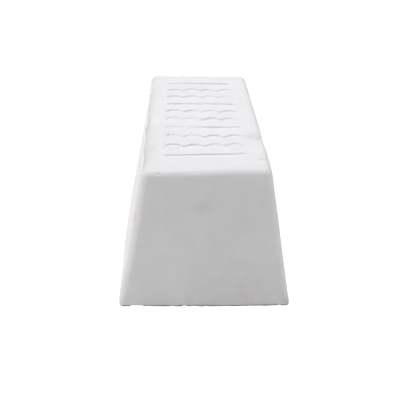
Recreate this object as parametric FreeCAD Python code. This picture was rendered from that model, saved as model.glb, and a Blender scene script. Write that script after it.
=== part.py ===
"""Gymnastics chalk block: one cake of magnesium carbonate, moulded, dried and used bare.

Millimetres. X runs across the block, Y along it and Z up. The origin is the middle of the
large face the block rests on. The block is one solid, so there is one part: chalk_block.
"""

import FreeCAD
import Part
import math
import os

Vector = FreeCAD.Vector

# Driving dimensions of the cake, all to the sharp corners before any edge is rounded.
BASE_WIDTH = 48.0
BASE_LENGTH = 96.0
HEIGHT = 38.0
DRAFT_INSET = 7.1  # how far each of the four sides leans in between the base and the top

# How far the middle of each side bulges past its corners, because the cake swells as it dries.
FLANK_CROWN = 0.5  # the two long sides
END_CROWN = 0.2  # the two short sides

# Edge rounds.
CORNER_RADIUS = 2.4  # the four upright corners
TOP_RADIUS = 1.4  # around the top face
BASE_RADIUS = 0.6  # around the base, where the mould's open side was struck off

# Plain ornament sunk into the top by the bottom of the mould: evenly spaced strokes that lie
# across the block. Every third one is a straight bar, and the others are waves.
RELIEF_DEPTH = 0.5
RELIEF_DRAFT = 0.25  # each wall of the relief leans in by this much over its depth
STROKE_COUNT = 10
STROKE_WIDTH = 2.2
BENDS = 7  # arcs in one wave, curving towards +Y and -Y in turn
BEND_SLOPE = math.radians(50)  # angle between the wave and the X axis where two arcs meet

TOP_WIDTH = BASE_WIDTH - 2 * DRAFT_INSET
TOP_LENGTH = BASE_LENGTH - 2 * DRAFT_INSET
RELIEF_WIDTH = 0.67 * TOP_WIDTH
STROKE_PITCH = 0.75 * TOP_LENGTH / (STROKE_COUNT - 1)
BEND_WIDTH = (RELIEF_WIDTH - STROKE_WIDTH) / BENDS
BEND_RADIUS = BEND_WIDTH / (2 * math.sin(BEND_SLOPE))


def leaning_drum(half_span, half_depth, crown):
    """Huge cylinder whose surface is one bulging side facing +X, leaning in as it goes up."""
    radius = (half_span**2 + crown**2) / (2 * crown)
    outward = Vector(HEIGHT, 0, DRAFT_INSET).normalize()
    upward = Vector(-DRAFT_INSET, 0, HEIGHT).normalize()
    axis_point = Vector(half_depth + crown, 0, 0) - outward * radius
    drum = Part.makeCylinder(radius, 4 * HEIGHT, axis_point - upward * 2 * HEIGHT, upward)
    drum.rotate(axis_point, upward, 180)  # turns the drum's seam to the side that is cut away
    return drum


def flat_at(edge, height):
    """True for an edge that lies wholly at one height."""
    box = edge.BoundBox
    return abs(box.ZMin - height) < 1e-3 and abs(box.ZMax - height) < 1e-3


def drafted_cake():
    """The plain cake: a tapered block with bulging sides and every edge rounded."""
    cake = Part.makeBox(2 * BASE_WIDTH, 2 * BASE_LENGTH, HEIGHT, Vector(-BASE_WIDTH, -BASE_LENGTH, 0))
    flank = leaning_drum(BASE_LENGTH / 2, BASE_WIDTH / 2, FLANK_CROWN)
    end = leaning_drum(BASE_WIDTH / 2, BASE_LENGTH / 2, END_CROWN)
    for quarter, side in enumerate([flank, end, flank, end]):
        turned = side.copy()
        turned.rotate(Vector(0, 0, 0), Vector(0, 0, 1), 90 * quarter)
        cake = cake.common(turned)
    upright = [e for e in cake.Edges if e.BoundBox.ZLength > HEIGHT / 2]
    cake = cake.makeFillet(CORNER_RADIUS, upright)
    cake = cake.makeFillet(TOP_RADIUS, [e for e in cake.Edges if flat_at(e, HEIGHT)])
    return cake.makeFillet(BASE_RADIUS, [e for e in cake.Edges if flat_at(e, 0)])


def ring_point(centre, radius, angle, height):
    """Point on a level circle; the angle is measured from +X towards +Y."""
    x, y = centre
    return Vector(x + radius * math.cos(angle), y + radius * math.sin(angle), height)


def arc(centre, radius, start, end, height):
    """Level arc from one angle to another, in the order given."""
    places = [ring_point(centre, radius, angle, height) for angle in (start, (start + end) / 2, end)]
    return Part.Arc(*places).toShape()


def bar_outline(y, half_width, height):
    """Closed outline of a straight stroke across the block, with round ends."""
    reach = (RELIEF_WIDTH - STROKE_WIDTH) / 2
    right = arc((reach, y), half_width, -math.pi / 2, math.pi / 2, height)
    left = arc((-reach, y), half_width, math.pi / 2, 1.5 * math.pi, height)
    near = Part.makeLine(left.Vertexes[-1].Point, right.Vertexes[0].Point)
    far = Part.makeLine(right.Vertexes[-1].Point, left.Vertexes[0].Point)
    return Part.Wire([near, right, far, left])


def wave_outline(y, half_width, height):
    """Closed outline of a wavy stroke across the block, with round ends.

    The stroke's middle line is a chain of arcs, and its two edges are the same arcs with a
    larger and a smaller radius. The near edge is drawn to the right and the far edge back.
    """
    near, far = [], []
    for bend in range(BENDS):
        side = 1 if bend % 2 == 0 else -1  # +1 bulges towards +Y
        middle_x = (bend - (BENDS - 1) / 2) * BEND_WIDTH
        centre = (middle_x, y - side * BEND_RADIUS * math.cos(BEND_SLOPE))
        start = side * (math.pi / 2 + BEND_SLOPE)
        end = side * (math.pi / 2 - BEND_SLOPE)
        near.append(arc(centre, BEND_RADIUS - side * half_width, start, end, height))
        far.insert(0, arc(centre, BEND_RADIUS + side * half_width, end, start, height))
    reach = (RELIEF_WIDTH - STROKE_WIDTH) / 2
    across = math.pi / 2 - BEND_SLOPE  # direction from the wave's right end to its far edge
    right = arc((reach, y), half_width, across - math.pi, across, height)
    left = arc((-reach, y), half_width, math.pi - across, 2 * math.pi - across, height)
    return Part.Wire(near + [right] + far + [left])


def stroke_tool(outline, y):
    """Tool that sinks a stroke into the top, with leaning walls."""
    overshoot = 0.3
    slope = RELIEF_DRAFT / RELIEF_DEPTH
    upper = outline(y, STROKE_WIDTH / 2 + slope * overshoot, HEIGHT + overshoot)
    lower = outline(y, STROKE_WIDTH / 2 - RELIEF_DRAFT, HEIGHT - RELIEF_DEPTH)
    return Part.makeLoft([upper, lower], True, True)


def relief_tools():
    """A tool for every sunk stroke on the top, from the near one to the far one."""
    tools = []
    for i in range(STROKE_COUNT):
        outline = bar_outline if i % 3 == 0 else wave_outline
        tools.append(stroke_tool(outline, (i - (STROKE_COUNT - 1) / 2) * STROKE_PITCH))
    return tools


def chalk_block():
    """The finished cake with its ornament sunk into the top."""
    block = drafted_cake()
    for tool in relief_tools():
        block = block.cut(tool)
    return block


os.makedirs("parts", exist_ok=True)
shape = chalk_block()
if len(shape.Solids) != 1 or not shape.isValid():
    raise RuntimeError("the chalk block must be one valid solid")
shape.Solids[0].exportStep("parts/chalk_block.step")
box = shape.optimalBoundingBox(False)
print("size mm", round(box.XLength, 3), round(box.YLength, 3), round(box.ZLength, 3))
print("volume mm3", round(shape.Volume, 1), "faces", len(shape.Faces))
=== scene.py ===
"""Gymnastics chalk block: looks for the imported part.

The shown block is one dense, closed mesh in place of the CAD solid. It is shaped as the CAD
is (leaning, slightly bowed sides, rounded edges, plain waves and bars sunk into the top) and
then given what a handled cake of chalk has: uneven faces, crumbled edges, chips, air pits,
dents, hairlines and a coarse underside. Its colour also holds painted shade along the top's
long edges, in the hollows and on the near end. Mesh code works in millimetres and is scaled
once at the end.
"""

import math

import bpy
import numpy as np
from mathutils import Matrix, Vector


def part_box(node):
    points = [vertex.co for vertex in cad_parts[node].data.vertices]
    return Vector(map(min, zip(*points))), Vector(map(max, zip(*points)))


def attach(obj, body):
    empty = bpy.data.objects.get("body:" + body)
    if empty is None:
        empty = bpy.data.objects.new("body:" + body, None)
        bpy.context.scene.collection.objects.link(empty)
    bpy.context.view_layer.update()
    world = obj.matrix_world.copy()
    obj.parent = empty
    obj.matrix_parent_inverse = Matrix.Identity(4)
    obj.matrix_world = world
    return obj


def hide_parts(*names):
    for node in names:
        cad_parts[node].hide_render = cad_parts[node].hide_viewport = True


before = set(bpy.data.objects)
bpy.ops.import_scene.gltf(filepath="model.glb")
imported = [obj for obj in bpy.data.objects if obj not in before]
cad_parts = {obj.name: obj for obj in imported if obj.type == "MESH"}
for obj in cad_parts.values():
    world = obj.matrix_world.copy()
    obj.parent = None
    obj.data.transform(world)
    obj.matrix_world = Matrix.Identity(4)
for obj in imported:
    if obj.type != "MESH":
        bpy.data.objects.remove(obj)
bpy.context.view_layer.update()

MM = 0.001
NODE = "chalk_block"

# Sizes of the CAD solid that its box doesn't give, mm.
DRAFT_INSET = 7.1
FLANK_CROWN = 0.5
END_CROWN = 0.2
CORNER_RADIUS = 2.4
TOP_RADIUS = 1.4
BASE_RADIUS = 0.6
RELIEF_DEPTH = 0.5
RELIEF_WALL = 0.35  # width of a stroke's worn, sloping wall, seen from above
STROKE_COUNT = 10
STROKE_WIDTH = 2.2
BENDS = 7  # arcs in one wave
BEND_SLOPE = math.radians(50)  # angle between the wave and the X axis where two arcs meet

box_low, box_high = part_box(NODE)
HEIGHT = (box_high.z - box_low.z) / MM
LEAN = math.atan(DRAFT_INSET / HEIGHT)
BASE_LOSS = BASE_RADIUS * (math.tan(LEAN) + 1 / math.cos(LEAN) - 1)
HALF_X = (box_high.x - box_low.x) / MM / 2 + BASE_LOSS - FLANK_CROWN
HALF_Y = (box_high.y - box_low.y) / MM / 2 + BASE_LOSS - END_CROWN
TOP_X = HALF_X - DRAFT_INSET
TOP_Y = HALF_Y - DRAFT_INSET
STROKE_REACH = 0.67 * TOP_X - STROKE_WIDTH / 2  # from the middle of a stroke to its end's centre
STROKE_PITCH = 1.5 * TOP_Y / (STROKE_COUNT - 1)
BEND_WIDTH = 2 * STROKE_REACH / BENDS
BEND_RADIUS = BEND_WIDTH / (2 * math.sin(BEND_SLOPE))

# Upright corners, which are sharper low down than in the CAD solid.
LOW_CORNER_SHARE = 0.65  # of CORNER_RADIUS, at the base
LOW_CORNER_HEIGHT = 9.0

# Wear. Depths and heights are in mm.
SEED = 41
CHIP_DEPTH = 0.42  # as a share of the chip's size
PIT_COUNT = 110
PIT_RADIUS = (0.25, 0.90)  # smallest and largest
PIT_DEPTH = 0.55  # as a share of the pit's radius
CRUMB_COUNT = 26
CRUMB_RADIUS = (0.25, 0.70)  # smallest and largest
CRUMB_HEIGHT = 0.55  # as a share of the crumb's radius
HAIRLINE_DEPTH = 0.22
RIM_SEAM_DEPTH = 0.16
CORNER_RISE = 0.85

# Cells of the mesh across the width, length and height of the block.
CELLS = ((180, 460, 80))

# Base colours of the chalk, and the greys that paint shade into it.
SKIN_DARKER = (0.765, 0.764, 0.770, 1)
SKIN_LIGHTER = (0.800, 0.798, 0.803, 1)
POWDER = (0.850, 0.849, 0.853, 1)
# Painted shade for the ornament's walls, pits and hairlines.
HOLLOW_SHADE = (0.560, 0.565, 0.580, 1)
FRESH = (0.880, 0.879, 0.882, 1)
# Grey for painted shade along the rims and on the near end, for darker dents, and for soil from
# handling.
SOIL_AND_SHADE = (0.500, 0.490, 0.475, 1)

# The floor, and how far from the block its light and the camera's view of it are darkened; the darkened
# view is a painted contact shadow.
FLOOR_HALF = 4.0  # metres
FLOOR_GAP = 0.05 * MM  # keeps the floor just clear of the block's underside
FLOOR_DARKER = (0.27, 0.27, 0.27, 1)
FLOOR_LIGHTER = (0.29, 0.29, 0.29, 1)
FLOOR_GLOW = (1.0, 0.992, 0.980, 1)
THROWN_REACH = 2.0 * MM
PAINTED_CONTACT_SHADOW_REACH = 0.36 * MM

WORLD_STRENGTH = 0.03

# Studio lamps: direction from the block, distance and size in metres, power in watts, colour.
COOL = (0.985, 0.985, 1.02)
WARM = (1.08, 1.0, 0.875)
LAMPS = {
    "overhead": ((-0.10, 0.11, 0.97), 0.9, 0.6, 8.6, COOL),
    "left_side": ((-0.95, 0.0, 0.20), 1.2, 0.8, 3.9, WARM),
    "right_side": ((0.95, 0.0, 0.20), 1.2, 0.8, 3.0, WARM),
}

# The camera looks down the block's length from just above and left of its near end.
CAMERA_PLACE = Vector((-7.4, -179.4, 106.3)) * MM
CAMERA_PITCH = math.radians(29.79)
CAMERA_YAW = math.radians(3.48)
CAMERA_ROLL = math.radians(1.84)
CAMERA_LENS = 51.4


# ---------------------------------------------------------------- noise

rng = np.random.default_rng(SEED)
LATTICE = 64
lattice_values = rng.uniform(-1, 1, (LATTICE, LATTICE, LATTICE))


def noise(points, wavelength, shift=0.0):
    """Smooth noise between -1 and 1 at each point, with features about wavelength mm across."""
    q = points / wavelength + shift
    cell = np.floor(q).astype(int)
    f = q - cell
    f = f * f * f * (f * (f * 6 - 15) + 10)
    total = np.zeros(len(points))
    for corner in np.ndindex(2, 2, 2):
        weight = np.ones(len(points))
        for axis in range(3):
            weight = weight * (f[:, axis] if corner[axis] else 1 - f[:, axis])
        i, j, k = ((cell + corner) % LATTICE).T
        total += weight * lattice_values[i, j, k]
    return total


def rough(points, wavelength, octaves, shift=0.0):
    """Layered noise: each octave is half as wide and a little over half as strong."""
    total = np.zeros(len(points))
    strength = 1.0
    for octave in range(octaves):
        total += strength * noise(points, wavelength, shift + 7.3 * octave)
        wavelength /= 2.0
        strength *= 0.55
    return total


def smooth(value, start, end):
    """0 before start, 1 after end, and an S-shaped rise between them."""
    t = np.clip((value - start) / (end - start), 0, 1)
    return t * t * (3 - 2 * t)


# ---------------------------------------------------------------- plain shape


def rounded_join(a, b, radius):
    """Distance outside the edge where two faces meet, with the edge rounded."""
    outer = np.hypot(np.maximum(a + radius, 0), np.maximum(b + radius, 0))
    return np.minimum(np.maximum(a, b), -radius) + outer


def side_distance(along, across, height, half_span, half_depth, crown):
    """Distance outside one pair of leaning sides that bulge by crown in the middle."""
    bow = crown * (1 - (along / half_span) ** 2)
    return (np.abs(across) + height * math.tan(LEAN) - half_depth - bow) * math.cos(LEAN)


def face_distances(p):
    """Distances outside the flanks, the ends, the top and the base, one row each."""
    x, y, z = p.T
    flank = side_distance(y, x, z, HALF_Y, HALF_X, FLANK_CROWN)
    end = side_distance(x, y, z, HALF_X, HALF_Y, END_CROWN)
    return np.array([flank, end, z - HEIGHT, -z])


def block_distance(p):
    """Distance outside the rounded block, whose upright corners are sharper low down."""
    flank, end, top, base = face_distances(p)
    full = smooth(p[:, 2], 0.0, LOW_CORNER_HEIGHT)
    sides = rounded_join(flank, end, CORNER_RADIUS * (LOW_CORNER_SHARE + (1 - LOW_CORNER_SHARE) * full))
    return rounded_join(rounded_join(sides, top, TOP_RADIUS), base, BASE_RADIUS)


def gradient(p):
    """Unit outward direction of the rounded block at each point."""
    step = 0.01
    g = np.empty_like(p)
    for axis in range(3):
        d = np.zeros(3)
        d[axis] = step
        g[:, axis] = block_distance(p + d) - block_distance(p - d)
    return g / np.linalg.norm(g, axis=1, keepdims=True)


def settle(points):
    """Moves points onto the rounded block."""
    for _ in range(4):
        points = points - gradient(points) * block_distance(points)[:, None]
    return points


def share(x, y, z):
    """Place given as shares of the block's half width, half length and height."""
    return np.array([x * HALF_X, y * HALF_Y, z * HEIGHT])


def on_surface(x, y, z):
    """Place on the rounded block nearest to the one given as shares."""
    return settle(share(x, y, z)[None])[0]


def grid_line(cells):
    """Positions from -1 to 1, closer together near both ends, where the rounded edges are."""
    u = np.linspace(0, 1, cells + 1)
    return 2 * (u - 0.15 * np.sin(2 * np.pi * u) / (2 * np.pi)) - 1


def quads(sheet, flip):
    """Quads over a sheet of point numbers, turned over if flip is true."""
    ring = [sheet[:-1, :-1], sheet[1:, :-1], sheet[1:, 1:], sheet[:-1, 1:]]
    ring = ring[::-1] if flip else ring
    return np.stack([c.ravel() for c in ring], 1)


def shell_grid():
    """Points and quads of a closed grid over the sharp-edged block."""
    nx, ny, nz = CELLS
    shell = np.ones((nx + 1, ny + 1, nz + 1), bool)
    shell[1:-1, 1:-1, 1:-1] = False
    index = np.full(shell.shape, -1)
    index[shell] = np.arange(shell.sum())
    i, j, k = np.nonzero(shell)
    s, t, w = grid_line(nx)[i], grid_line(ny)[j], grid_line(nz)[k]
    z = HEIGHT * (w + 1) / 2
    inset = z * math.tan(LEAN)
    points = np.stack([s * (HALF_X - inset), t * (HALF_Y - inset), z], 1)
    faces = [
        quads(index[:, :, -1], False),
        quads(index[:, :, 0], True),
        quads(index[:, 0, :], False),
        quads(index[:, -1, :], True),
        quads(index[-1, :, :], False),
        quads(index[0, :, :], True),
    ]
    return points, np.concatenate(faces)


# ---------------------------------------------------------------- relief on the top


def bar_distance(x, y):
    """Distance from the middle line of a straight stroke that lies across the block at y = 0."""
    return np.hypot(np.maximum(np.abs(x) - STROKE_REACH, 0), y)


def wave_distance(x, y):
    """Distance from the middle line of a wavy stroke, a chain of arcs that starts and ends at y = 0."""
    nearest = np.hypot(np.abs(x) - STROKE_REACH, y)
    for bend in range(BENDS):
        side = 1 if bend % 2 == 0 else -1
        u = x - (bend - (BENDS - 1) / 2) * BEND_WIDTH
        v = side * y + BEND_RADIUS * math.cos(BEND_SLOPE)
        in_wedge = np.abs(u) <= v * math.tan(BEND_SLOPE)
        from_arc = np.abs(np.hypot(u, v) - BEND_RADIUS)
        nearest = np.where(in_wedge, np.minimum(nearest, from_arc), nearest)
    return nearest


def relief(p):
    """How far each point is inside the sunk ornament, 0 to 1, with soft, uneven walls."""
    x = p[:, 0]
    y = p[:, 1] + 0.25 * noise(p, 11.0, shift=5.2)
    middle = np.full(len(p), np.inf)
    for i in range(STROKE_COUNT):
        distance = bar_distance if i % 3 == 0 else wave_distance
        middle = np.minimum(middle, distance(x, y - (i - (STROKE_COUNT - 1) / 2) * STROKE_PITCH))
    middle += 0.18 * noise(p, 4.2, shift=3.1) + 0.06 * noise(p, 1.3, shift=9.4)
    brim = STROKE_WIDTH / 2 + 0.05
    on_top = smooth(p[:, 2], HEIGHT - 1.0, HEIGHT - 0.4)
    return on_top * (1 - smooth(middle, brim - RELIEF_WALL, brim))


def relief_depth(p, sunk):
    """Depth of the ornament, which old powder fills more in some places than in others."""
    unfilled = np.clip(0.74 + 0.60 * noise(p, 8.0, shift=6.6), 0.30, 1.0)
    return RELIEF_DEPTH * unfilled * sunk


# ---------------------------------------------------------------- wear and painted shade


def scoop(p, centre, radius, stretch=(1, 1, 1)):
    """1 at the middle of a rounded hollow, falling smoothly to 0 at its rim."""
    r = np.linalg.norm((p - centre) / stretch, axis=1) / radius
    return np.where(r < 1, (1 - np.minimum(r, 1) ** 2) ** 2, 0)


def unevenness(p):
    """Height of the broad waves in the faces, which fade out at the base, and of the grain."""
    fade = smooth(p[:, 2], 0.3, 2.0)
    waves = 0.16 * noise(p, 21.0) + 0.07 * noise(p, 8.0, shift=1.3)
    grain = 0.012 * rough(p, 1.9, octaves=3, shift=0.7) + 0.006 * noise(p, 0.45, shift=2.0)
    return fade * waves + grain


def spread(count, random):
    """Random places over the block's surface, apart from the near end, which is almost bare."""
    p = random.uniform(-1, 1, (count, 3)) * [HALF_X, HALF_Y, HEIGHT / 2] + [0, 0, HEIGHT / 2]
    chances = [0.20, 0.20, 0.0, 0.16, 0.28, 0.16]  # left, right, near end, far end, base, top
    face = random.choice(6, count, p=chances)
    for axis, value in enumerate([HALF_X, HALF_Y, HEIGHT]):
        low = 0 if axis == 2 else -value
        p[face == 2 * axis, axis] = low
        p[face == 2 * axis + 1, axis] = value
    return settle(p)


def air_pits(p, random):
    """Small round holes left by bubbles in the slurry."""
    smallest, largest = PIT_RADIUS
    depth = np.zeros(len(p))
    for centre in spread(PIT_COUNT, random):
        radius = smallest + (largest - smallest) * random.random() ** 4
        near = np.abs(p - centre).max(1) < radius
        hollow = PIT_DEPTH * radius * scoop(p[near], centre, radius)
        depth[near] = np.maximum(depth[near], hollow)
    return depth


def edge_nearness(p):
    """1 on an edge of the block, falling to 0 about 3 mm away from it."""
    nearest = np.sort(face_distances(p), axis=0)
    return 1 - smooth(-nearest[-2], 0.0, 3.0)


def edge_crumble(p):
    """Ragged loss along the edges, where the cake rubs and flakes first."""
    rubbed = 0.06 + 0.05 * noise(p, 17.0, shift=3.9)
    flaked = 0.22 * smooth(rough(p, 3.4, octaves=4, shift=2.2), 0.35, 1.1)
    return edge_nearness(p) ** 2 * (rubbed + flaked)


def chips(p, random):
    """Bites out of the edges: place as shares, and size in mm."""
    spots = [
        ((0.90, 0.96, 0.10), 1.5),
        ((-0.98, 0.90, 0.01), 1.3),
        ((0.97, 0.40, 0.02), 1.8),
        ((0.84, 0.92, 0.62), 1.1),
        ((-0.70, 0.10, 1.00), 0.7),
        ((-0.72, 0.50, 1.00), 0.9),
        ((0.30, 0.98, 0.02), 1.7),
        ((-0.86, 0.92, 0.55), 1.3),
        ((0.79, -0.90, 0.67), 0.8),
        ((0.71, -0.36, 1.00), 1.3),
    ]
    depth = np.zeros(len(p))
    for place, size in spots:
        stretch = random.uniform(0.7, 1.4, 3)
        r = np.linalg.norm((p - on_surface(*place)) / (stretch * size), axis=1)
        bite = 1 - smooth(r + 0.28 * noise(p, 0.9, shift=5.5), 0.35, 1.15)
        depth = np.maximum(depth, CHIP_DEPTH * size * bite)
    return depth


def dents(p):
    """Soft hollows pressed in by fingers and knocks, and soft swellings, which count below 0.

    Each has its place as shares, its radius and depth in mm, and its stretch along X, Y and Z.
    """
    spots = [
        # near end
        ((-0.07, -0.89, 0.73), 2.4, 0.16, (1.0, 1, 1.0)),
        ((0.01, -0.89, 0.78), 2.88, 0.12, (1.3, 1, 0.9)),
        ((0.48, -0.90, 0.68), 4.08, 0.18, (1.4, 1, 0.7)),
        ((0.78, -0.94, 0.40), 6.0, 0.20, (0.6, 1, 1.5)),
        ((-0.78, -0.90, 0.67), 2.16, 0.40, (1, 1, 0.7)),
        ((-0.90, -0.95, 0.47), 4.32, 0.34, (1.0, 1.0, 2.6)),
        ((-0.95, -0.96, 0.48), 13.8, 0.18, (1.2, 1.0, 1.5)),
        # top and its rim
        ((-0.52, -0.862, 1), 0.54, 0.25, (1, 1, 1)),
        ((0.54, -0.27, 1), 0.84, 0.40, (1.2, 1, 1)),
        ((0.55, -0.85, 1), 3.84, 0.32, (2.2, 0.8, 0.8)),
        ((-0.20, -0.86, 1), 3.84, 0.16, (5.0, 0.9, 0.8)),
        ((0.66, -0.35, 1), 2.88, 0.70, (1.1, 1.4, 1)),
        ((-0.67, -0.10, 1), 3.12, 0.45, (0.8, 2.0, 1)),
        # swellings
        ((0.30, 0.85, 1), 19.2, -0.38, (1.7, 1.1, 1)),
        ((-1, 0.06, 0), 24.0, -0.42, (1, 1.75, 0.8)),
        ((-0.72, 0.74, 1), 6.0, -0.28, (1, 1.3, 1)),
        # far end and flanks
        ((0.30, 0.97, 0.30), 6.6, 0.35, (1.5, 1, 0.8)),
        ((0.92, 0.20, 0.45), 7.8, 0.35, (1, 1.5, 0.8)),
        ((-0.92, -0.30, 0.40), 7.2, 0.30, (1, 1.7, 0.8)),
    ]
    depth = np.zeros(len(p))
    for place, radius, deepest, stretch in spots:
        depth += deepest * scoop(p, on_surface(*place), radius, stretch)
    return depth


def line_distance(p, a, b):
    """Distance from each point to the straight piece between a and b."""
    span = b - a
    t = np.clip((p - a) @ span / (span @ span), 0, 1)
    return np.linalg.norm(p - (a + t[:, None] * span), axis=1)


def hairlines(p):
    """Fine shrinkage lines, each a short bent path with a wandering edge."""
    paths = [
        [(0.58, -0.71, 1), (0.66, -0.72, 1), (0.72, -0.70, 0.97)],
        [(0.44, -0.33, 1), (0.56, -0.35, 1), (0.70, -0.34, 0.97)],
        [(-0.66, -0.52, 1), (-0.58, -0.55, 1)],
        [(-0.97, 0.30, 0.05), (-0.93, 0.33, 0.22), (-0.90, 0.29, 0.34)],
        [(0.99, -0.45, 0.03), (0.95, -0.41, 0.15), (0.92, -0.44, 0.25)],
        [(-0.35, 0.99, 0.03), (-0.31, 0.96, 0.20), (-0.36, 0.94, 0.28)],
    ]
    wander = 0.22 * noise(p, 1.7, shift=4.4)
    depth = np.zeros(len(p))
    for path in paths:
        for a, b in zip(path[:-1], path[1:]):
            gap = line_distance(p, share(*a), share(*b)) + wander
            depth = np.maximum(depth, HAIRLINE_DEPTH * (1 - smooth(gap, 0.05, 0.42)))
    return depth


def past_top_edge(p):
    """Distance from the top's long edges: below 0 on the top and above 0 on the flanks."""
    flank, _, top, _ = face_distances(p)
    return (flank - top) / math.sqrt(2)


def rim_seam(p):
    """Shallow line left under the top's left edge by the joint between mould floor and wall."""
    past = past_top_edge(p)
    end = face_distances(p)[1]
    line = np.exp(-((past + 0.15 * noise(p, 4.0, shift=7.7)) / 0.32) ** 2)
    on_left = (p[:, 0] < 0) * smooth(-end, 1.5, 4.0) * smooth(past, -3, -2)
    return RIM_SEAM_DEPTH * line * on_left * (0.75 + 0.4 * noise(p, 6.0, shift=2.9))


def crumbs(p, random):
    """Specks of loose chalk stuck to the top: three large ones, then scattered small ones.

    Each has its place as shares of the top's half width and half length, and its radius in mm.
    """
    smallest, largest = CRUMB_RADIUS
    spots = [(-0.70, -0.61, 0.55), (-0.58, -0.64, 0.50), (-0.68, -0.29, 0.50)]
    for _ in range(CRUMB_COUNT):
        place = random.uniform(-0.9, 0.9), random.uniform(-0.95, 0.92)
        spots.append((*place, smallest + (largest - smallest) * random.random() ** 2))
    height = np.zeros(len(p))
    for share_x, share_y, radius in spots:
        centre = np.array([share_x * TOP_X, share_y * TOP_Y, HEIGHT])
        near = np.abs(p - centre).max(1) < 1.6 * radius
        r = np.linalg.norm(p[near] - centre, axis=1) / radius
        lump = 1 - smooth(r + 0.25 * noise(p[near], 0.4, shift=8.8), 0.3, 1.1)
        height[near] = np.maximum(height[near], CRUMB_HEIGHT * radius * lump)
    return height


def struck_base(p):
    """Drag marks and open pores on the underside, where the mould was scraped level."""
    on_base = 1 - smooth(p[:, 2], 0.05, 0.35)
    drag = noise(p * [1.0, 0.09, 1.0], 1.3, shift=6.1)
    drag += 0.6 * noise(p * [1.0, 0.12, 1.0], 0.55, shift=1.9)
    torn = smooth(rough(p, 2.6, octaves=3, shift=5.0), 0.55, 1.1)
    return on_base * (0.10 + 0.07 * drag + 0.35 * torn)


def corner_rise(p):
    """How far the cake is raised towards the near right corner of its top, where it dried taller."""
    x, y, z = p.T
    to_right = smooth(x, -0.5 * HALF_X, 0.6 * HALF_X)
    to_front = smooth(-y, 0.3 * HALF_Y, 0.8 * HALF_Y)
    return CORNER_RISE * to_right * to_front * z / HEIGHT


def painted_rim_shade(p):
    """Grey of painted shade along the top's two long edges, 0 to 1; the left one is darker and wider.
    """
    end = face_distances(p)[1]
    past = past_top_edge(p) + 0.12 * noise(p, 3.0, shift=4.8)
    on_left = p[:, 0] < 0
    amount = np.where(on_left, 0.80, 0.45) * smooth(-end, 0.5, 3.0) * smooth(past, -4, -3)
    reach = np.where(on_left, 0.60, 0.38)
    beyond = past + 0.22
    rim = np.where(beyond < 0, np.exp(-np.abs(beyond / reach)), np.exp(-((beyond / 0.25) ** 2)))
    return amount * rim * (0.90 + 0.35 * noise(p, 7.0, shift=1.7))


def soil_and_painted_shade(p):
    """How much each point is greyed, 0 to 1: painted shade along the top's long edges, over the near
    end and the top's near edge, darker dents, and soil from handling.

    Each patch has its place as shares, its radius in mm, its strength, and its stretch along
    X, Y and Z.
    """
    patches = [
        # Painted contact shade along the near end's base, strongest at its right corner.
        ((0.98, -1, 0.02), 2.88, 0.65, (1, 1, 0.8)),
        ((0.30, -1, 0), 20.4, 0.26, (1.8, 1, 0.8)),
        # Painted shade over the near end's right half, so its left part is lighter.
        ((0.35, -0.94, 0.45), 19.2, 0.07, (1, 1, 1.2)),
        # Painted shade over the top's near edge.
        ((0, -0.80, 1), 12.0, 0.08, (2.2, 0.8, 1)),
        # Darker along the left margin of the top's near half.
        ((-0.66, -0.50, 1), 10.8, 0.09, (0.6, 2.2, 1)),
        # Darker inside the dents on the near end and on the top.
        ((-0.07, -0.89, 0.73), 2.88, 0.16, (1.0, 1, 1)),
        ((0.01, -0.89, 0.78), 3.6, 0.10, (1.4, 1, 1)),
        ((0.60, -0.35, 1), 5.28, 0.22, (1, 0.8, 1)),
        # Soil from handling on the right flank, far end and left flank.
        ((1, 0.15, 0.45), 15.6, 0.10, (1, 1.3, 0.7)),
        ((-0.30, 0.95, 0.35), 14.4, 0.10, (1.1, 1, 0.8)),
        ((-1, 0.55, 0.30), 13.2, 0.10, (1, 1.4, 0.7)),
    ]
    grey = painted_rim_shade(p)
    mottle = 1 + 0.5 * noise(p, 2.4, shift=6.9)
    for place, radius, amount, stretch in patches:
        grey += amount * scoop(p, share(*place), radius, stretch) * mottle
    return np.clip(grey, 0, 1)


def chalk_mesh():
    """The worn block as a mesh, with what the material needs stored on its points."""
    points, faces = shell_grid()
    p = settle(points)
    random = np.random.default_rng(SEED)
    sunk = relief(p)
    crumbled = edge_crumble(p)
    broken = chips(p, random)
    pits = air_pits(p, random)
    cracks = hairlines(p)
    stuck = crumbs(p, random)
    raised = unevenness(p) + stuck
    lost = relief_depth(p, sunk) + crumbled + broken + pits + cracks
    lost += dents(p) + struck_base(p) + rim_seam(p)
    # Each kind of wear shows fully in the material where it is as deep, in mm, as its divisor; "hollow"
    # is painted shade on the ornament's walls and in pits and hairlines.
    stored = {
        "fresh": np.clip(broken / 0.3 + stuck / 0.15 + (crumbled - 0.06) / 0.35, 0, 1),
        # painted shade on the ornament's walls and in pits and hairlines
        "hollow": np.clip(3.6 * sunk * (1 - sunk) + pits / 0.25 + cracks / 0.18, 0, 1),
        # painted shade along the rims and on the near end, darker dents, and soil from handling
        "soil_and_painted_shade": soil_and_painted_shade(p),
    }
    worn = p + gradient(p) * (raised - lost)[:, None]
    worn[:, 2] = np.maximum(worn[:, 2] + corner_rise(p), 0)

    mesh = bpy.data.meshes.new("chalk_block_worn")
    mesh.from_pydata((worn * MM).tolist(), [], faces.tolist())
    mesh.polygons.foreach_set("use_smooth", np.ones(len(faces), bool))
    for name, values in stored.items():
        layer = mesh.attributes.new(name, "FLOAT", "POINT")
        layer.data.foreach_set("value", values.astype(np.float32))
    mesh.update()
    return mesh


# ---------------------------------------------------------------- materials


def node(tree, kind, inputs=None, **settings):
    """Adds a shader node, sets its properties, and sets or links its inputs."""
    made = tree.nodes.new(kind)
    for name, value in settings.items():
        setattr(made, name, value)
    for name, value in (inputs or {}).items():
        fill(tree, made.inputs[name], value)
    return made


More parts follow.
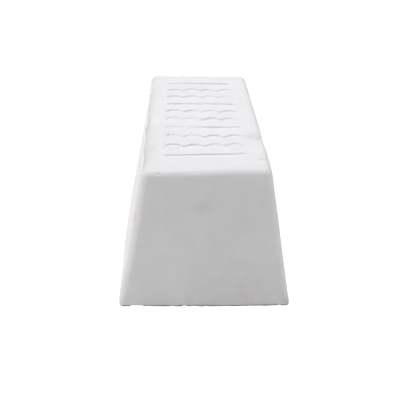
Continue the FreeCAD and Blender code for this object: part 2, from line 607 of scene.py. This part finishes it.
def fill(tree, socket, value):
    """Sets an input to a value, or links it to another node's output."""
    if isinstance(value, bpy.types.NodeSocket):
        tree.links.new(value, socket)
    else:
        socket.default_value = value


def ramp(tree, value, start, end, low, high):
    """Maps value from start..end onto low..high, held at both ends."""
    inputs = {"Value": value, "From Min": start, "From Max": end, "To Min": low, "To Max": high}
    return node(tree, "ShaderNodeMapRange", inputs).outputs["Result"]


def blend_colour(tree, amount, first, second):
    """Mixes two colours."""
    mix = node(tree, "ShaderNodeMix", data_type="RGBA")
    for socket, value in ((0, amount), (6, first), (7, second)):  # a Mix node's colour sockets
        fill(tree, mix.inputs[socket], value)
    return mix.outputs[2]


def new_material(name):
    """Empty material with a Principled shader, its tree, and object coordinates in mm."""
    material = bpy.data.materials.new(name)
    material.use_nodes = True
    tree = material.node_tree
    shader = tree.nodes["Principled BSDF"]
    place = node(tree, "ShaderNodeTexCoord").outputs["Object"]
    scale = {"Vector": place, "Scale": (1 / MM, 1 / MM, 1 / MM)}
    place = node(tree, "ShaderNodeMapping", scale).outputs["Vector"]
    return material, tree, shader, place


def cloud(tree, place, scale, detail):
    """Cloudy noise, 0 to 1; scale is in features per mm."""
    inputs = {"Vector": place, "Scale": scale, "Detail": detail, "Roughness": 0.6}
    return node(tree, "ShaderNodeTexNoise", inputs).outputs["Fac"]


def stored_value(tree, name):
    """A value that the mesh stores on its points."""
    return node(tree, "ShaderNodeAttribute", attribute_name=name).outputs["Fac"]


def chalk_colour(tree, place):
    """Cool white skin, whiter where powdery or broken, with painted shade in hollows, along the top's
    edges and on the near end, darker dents, and grey where handled.
    """
    blotch = ramp(tree, cloud(tree, place, 0.09, 3.0), 0.35, 0.65, 0.0, 1.0)
    skin = blend_colour(tree, blotch, SKIN_DARKER, SKIN_LIGHTER)
    powder = ramp(tree, cloud(tree, place, 1.4, 4.0), 0.42, 0.70, 0.0, 0.45)
    skin = blend_colour(tree, powder, skin, POWDER)
    # Painted shade on the ornament's walls and in pits and hairlines.
    hollow = ramp(tree, stored_value(tree, "hollow"), 0.0, 1.0, 0.0, 0.50)
    skin = blend_colour(tree, hollow, skin, HOLLOW_SHADE)
    fresh = ramp(tree, stored_value(tree, "fresh"), 0.1, 0.9, 0.0, 0.7)
    skin = blend_colour(tree, fresh, skin, FRESH)
    # Painted shade along the rims and on the near end, darker dents, and soil from handling.
    return blend_colour(tree, stored_value(tree, "soil_and_painted_shade"), skin, SOIL_AND_SHADE)


def chalk_bump(tree, place):
    """Fine pressed grain and scattered pores."""
    fine = cloud(tree, place, 3.2, 5.0)
    cells = {"Vector": place, "Scale": 1.6, "Randomness": 1.0}
    pore = node(tree, "ShaderNodeTexVoronoi", cells).outputs["Distance"]
    pore = ramp(tree, pore, 0.05, 0.22, 0.0, 1.0)
    grain = node(tree, "ShaderNodeBump", {"Height": fine, "Strength": 0.22, "Distance": 0.06 * MM})
    inputs = {"Height": pore, "Strength": 0.35, "Distance": 0.05 * MM, "Normal": grain.outputs[0]}
    return node(tree, "ShaderNodeBump", inputs).outputs[0]


def chalk_material():
    """Dry pressed chalk: matt, with a trace of powdery sheen."""
    material, tree, shader, place = new_material("pressed_chalk")
    dull = ramp(tree, cloud(tree, place, 0.5, 3.0), 0.3, 0.7, 0.82, 0.97)
    tree.links.new(chalk_colour(tree, place), shader.inputs["Base Color"])
    tree.links.new(dull, shader.inputs["Roughness"])
    tree.links.new(chalk_bump(tree, place), shader.inputs["Normal"])
    shader.inputs["Specular IOR Level"].default_value = 0.22
    shader.inputs["Sheen Weight"].default_value = 0.08
    shader.inputs["Sheen Roughness"].default_value = 0.6
    return material


def nearness_glow(tree, distance, start, end, low, high):
    """Strength of the floor's glow: low beside the block and high away from it."""
    near = node(tree, "ShaderNodeAmbientOcclusion", {"Distance": distance}, samples=12)
    return ramp(tree, near.outputs["AO"], start, end, low, high)


def floor_material():
    """Pale studio floor that glows a little, so it throws soft light up and shows no shadow.

    The light it throws stops beside the block. The camera sees it as white, with a thin
    painted contact shadow, a dark line where the block touches it.
    """
    material, tree, shader, place = new_material("studio_floor")
    inputs = {"Vector": place, "Scale": 0.02, "Detail": 2.0}
    patch = node(tree, "ShaderNodeTexNoise", inputs).outputs["Fac"]
    white = blend_colour(tree, patch, FLOOR_DARKER, FLOOR_LIGHTER)
    tree.links.new(white, shader.inputs["Base Color"])
    shader.inputs["Roughness"].default_value = 1.0
    shader.inputs["Specular IOR Level"].default_value = 0.0
    shader.inputs["Emission Color"].default_value = FLOOR_GLOW
    seen = node(tree, "ShaderNodeLightPath").outputs["Is Camera Ray"]
    thrown = nearness_glow(tree, THROWN_REACH, 0.55, 0.85, 0.0, 0.975)
    # Painted contact shadow: the camera's view of the floor darkens right beside the block.
    shown = nearness_glow(tree, PAINTED_CONTACT_SHADOW_REACH, 0.60, 0.86, 0.05, 1.1)
    inputs = {"Factor": seen, "A": thrown, "B": shown}
    glow = node(tree, "ShaderNodeMix", inputs, data_type="FLOAT").outputs["Result"]
    tree.links.new(glow, shader.inputs["Emission Strength"])
    return material


# ---------------------------------------------------------------- the piece and the scene


def add_block():
    """Puts the worn block in place of the CAD solid."""
    block = bpy.data.objects.new("chalk_block_shown", chalk_mesh())
    bpy.context.collection.objects.link(block)
    block.data.materials.append(chalk_material())
    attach(block, "root")
    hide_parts(NODE)


def add_floor():
    """Large flat floor under the block."""
    height = box_low.z - FLOOR_GAP
    corners = [(-1, -1), (1, -1), (1, 1), (-1, 1)]
    mesh = bpy.data.meshes.new("floor")
    mesh.from_pydata([(x * FLOOR_HALF, y * FLOOR_HALF, height) for x, y in corners], [], [(0, 1, 2, 3)])
    floor = bpy.data.objects.new("floor", mesh)
    floor.data.materials.append(floor_material())
    bpy.context.collection.objects.link(floor)


def add_world():
    """Soft even light from all round; the camera sees it as plain white."""
    world = bpy.data.worlds.new("studio")
    bpy.context.scene.world = world
    world.use_nodes = True
    tree = world.node_tree
    background = tree.nodes["Background"]
    seen = node(tree, "ShaderNodeLightPath").outputs["Is Camera Ray"]
    strength = ramp(tree, seen, 0.0, 1.0, WORLD_STRENGTH, 1.0)
    tree.links.new(strength, background.inputs["Strength"])
    background.inputs["Color"].default_value = (1, 1, 1, 1)


def add_lamp(name, direction, distance, size, power, colour):
    """Square softbox that faces the block from a direction."""
    light = bpy.data.lights.new(name, "AREA")
    light.shape = "SQUARE"
    light.size = size
    light.energy = power
    light.color = colour
    lamp = bpy.data.objects.new(name, light)
    away = Vector(direction).normalized()
    lamp.location = away * distance
    lamp.rotation_mode = "QUATERNION"
    lamp.rotation_quaternion = away.to_track_quat("Z", "Y")
    bpy.context.collection.objects.link(lamp)


def add_camera():
    """Camera at the viewing angle named above."""
    data = bpy.data.cameras.new("camera")
    data.sensor_width = 36.0
    data.lens = CAMERA_LENS
    data.clip_start = 0.01
    data.clip_end = 50.0
    camera = bpy.data.objects.new("camera", data)
    bpy.context.collection.objects.link(camera)
    turn = Matrix.Rotation(-CAMERA_YAW, 4, "Z") @ Matrix.Rotation(math.pi / 2 - CAMERA_PITCH, 4, "X")
    turn = turn @ Matrix.Rotation(CAMERA_ROLL, 4, "Z")
    camera.matrix_world = Matrix.Translation(CAMERA_PLACE) @ turn
    bpy.context.scene.camera = camera


add_block()
add_floor()
add_world()
for lamp_name, lamp_settings in LAMPS.items():
    add_lamp(lamp_name, *lamp_settings)
add_camera()
bpy.context.scene.view_settings.view_transform = "Standard"
